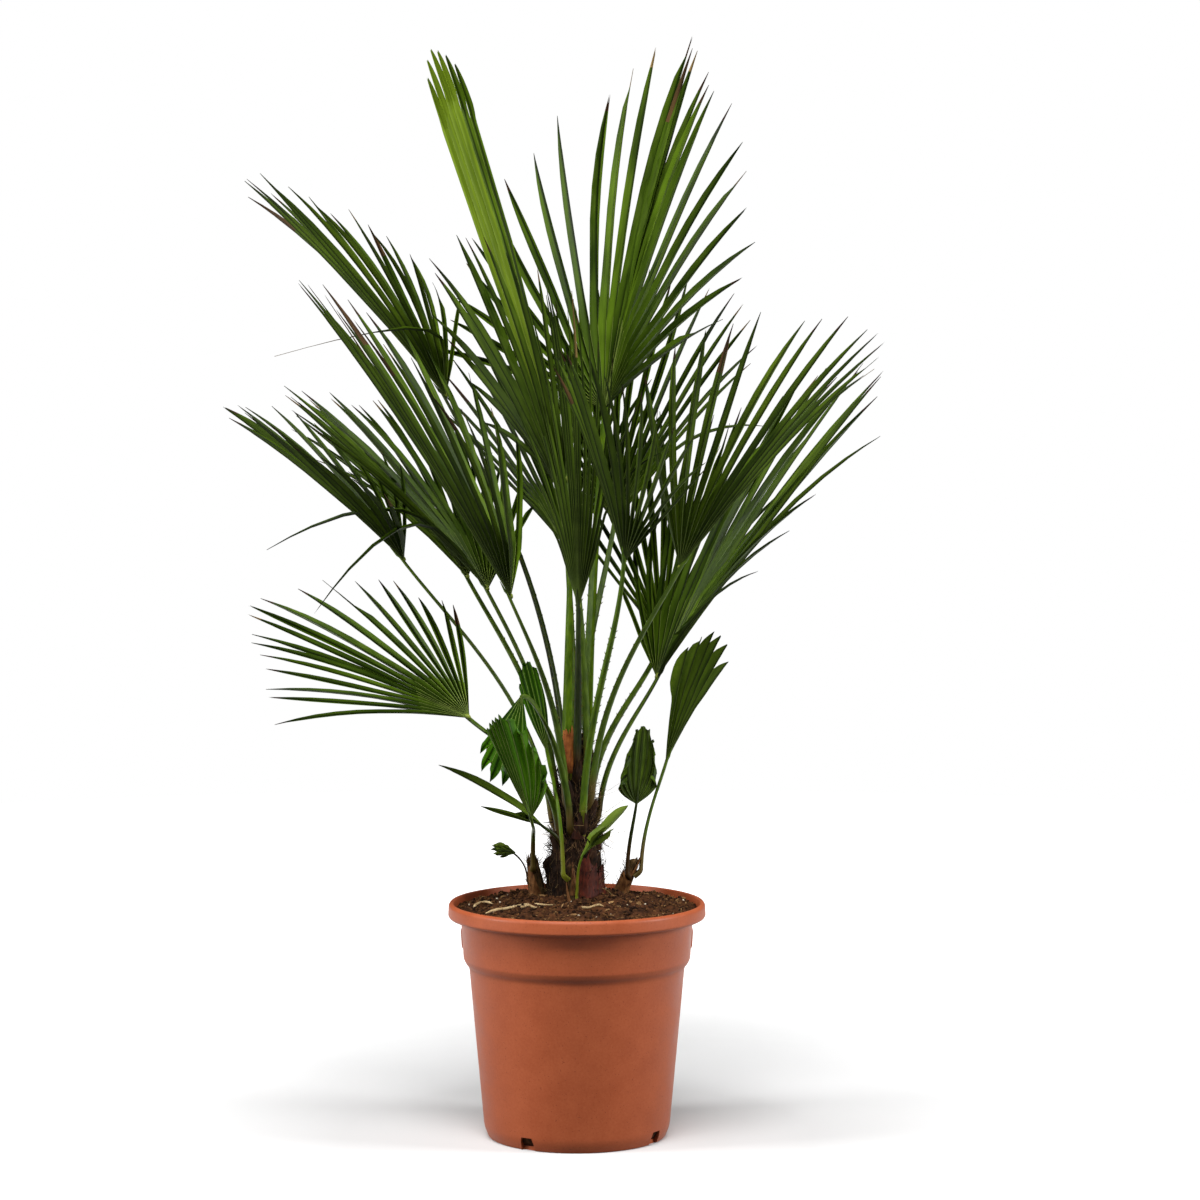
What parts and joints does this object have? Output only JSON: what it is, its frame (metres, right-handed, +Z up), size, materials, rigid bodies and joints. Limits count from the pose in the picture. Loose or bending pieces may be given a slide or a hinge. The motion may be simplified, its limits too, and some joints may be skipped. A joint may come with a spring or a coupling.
{
  "type": "potted european fan palm",
  "caption": "Small fan palm with one fibrous stem, thin petioles and pleated fan fronds, growing in a round tapered plastic nursery pot filled with soil.",
  "frame": {"origin": "centre of the flat underside of the pot", "axes": "+Z up along the stem; the side seen in the picture faces -Y, with +X to its right"},
  "size_m": [0.7002, 0.6583, 1.1605],
  "materials": {
    "pot": "satin",
    "soil": "matte",
    "bark": "matte",
    "petiole": "satin",
    "leaf": "satin",
    "young_leaf": "satin"
  },
  "bodies": {
    "root": {"back_left_blade": "leaf", "back_left_petiole": "petiole", "back_middle_blade": "leaf", "back_middle_petiole": "petiole", "back_right_blade": "leaf", "back_right_petiole": "petiole", "back_top_blade": "leaf", "back_top_petiole": "petiole", "folded_blade": "young_leaf", "folded_petiole": "petiole", "foot_leaf_blade": "young_leaf", "foot_leaf_petiole": "petiole", "front_blade": "leaf", "front_petiole": "petiole", "front_shoot": "bark", "front_young_blade": "young_leaf", "front_young_petiole": "petiole", "left_lower_blade": "leaf", "left_lower_petiole": "petiole", "left_middle_blade": "leaf", "left_middle_petiole": "petiole", "left_outer_blade": "leaf", "left_outer_petiole": "petiole", "left_shoot": "bark", "left_top_blade": "leaf", "left_top_petiole": "petiole", "left_upper_blade": "leaf", "left_upper_petiole": "petiole", "main_stem": "bark", "middle_back_blade": "leaf", "middle_back_petiole": "petiole", "middle_front_blade": "leaf", "middle_front_petiole": "petiole", "pot": "pot", "right_lower_blade": "leaf", "right_lower_petiole": "petiole", "right_shoot": "bark", "right_upper_blade": "leaf", "right_upper_petiole": "petiole", "shoot_cup_blade": "young_leaf", "shoot_cup_petiole": "petiole", "shoot_pair_blade": "leaf", "shoot_pair_petiole": "petiole", "shoot_round_blade": "leaf", "shoot_round_petiole": "petiole", "shoot_tall_blade": "leaf", "shoot_tall_petiole": "petiole", "shoot_tip_blade": "young_leaf", "shoot_tip_petiole": "petiole", "soil": "soil", "spear_blade": "young_leaf", "spear_petiole": "petiole", "top_fan_blade": "leaf", "top_fan_petiole": "petiole"}
  },
  "joints": []
}
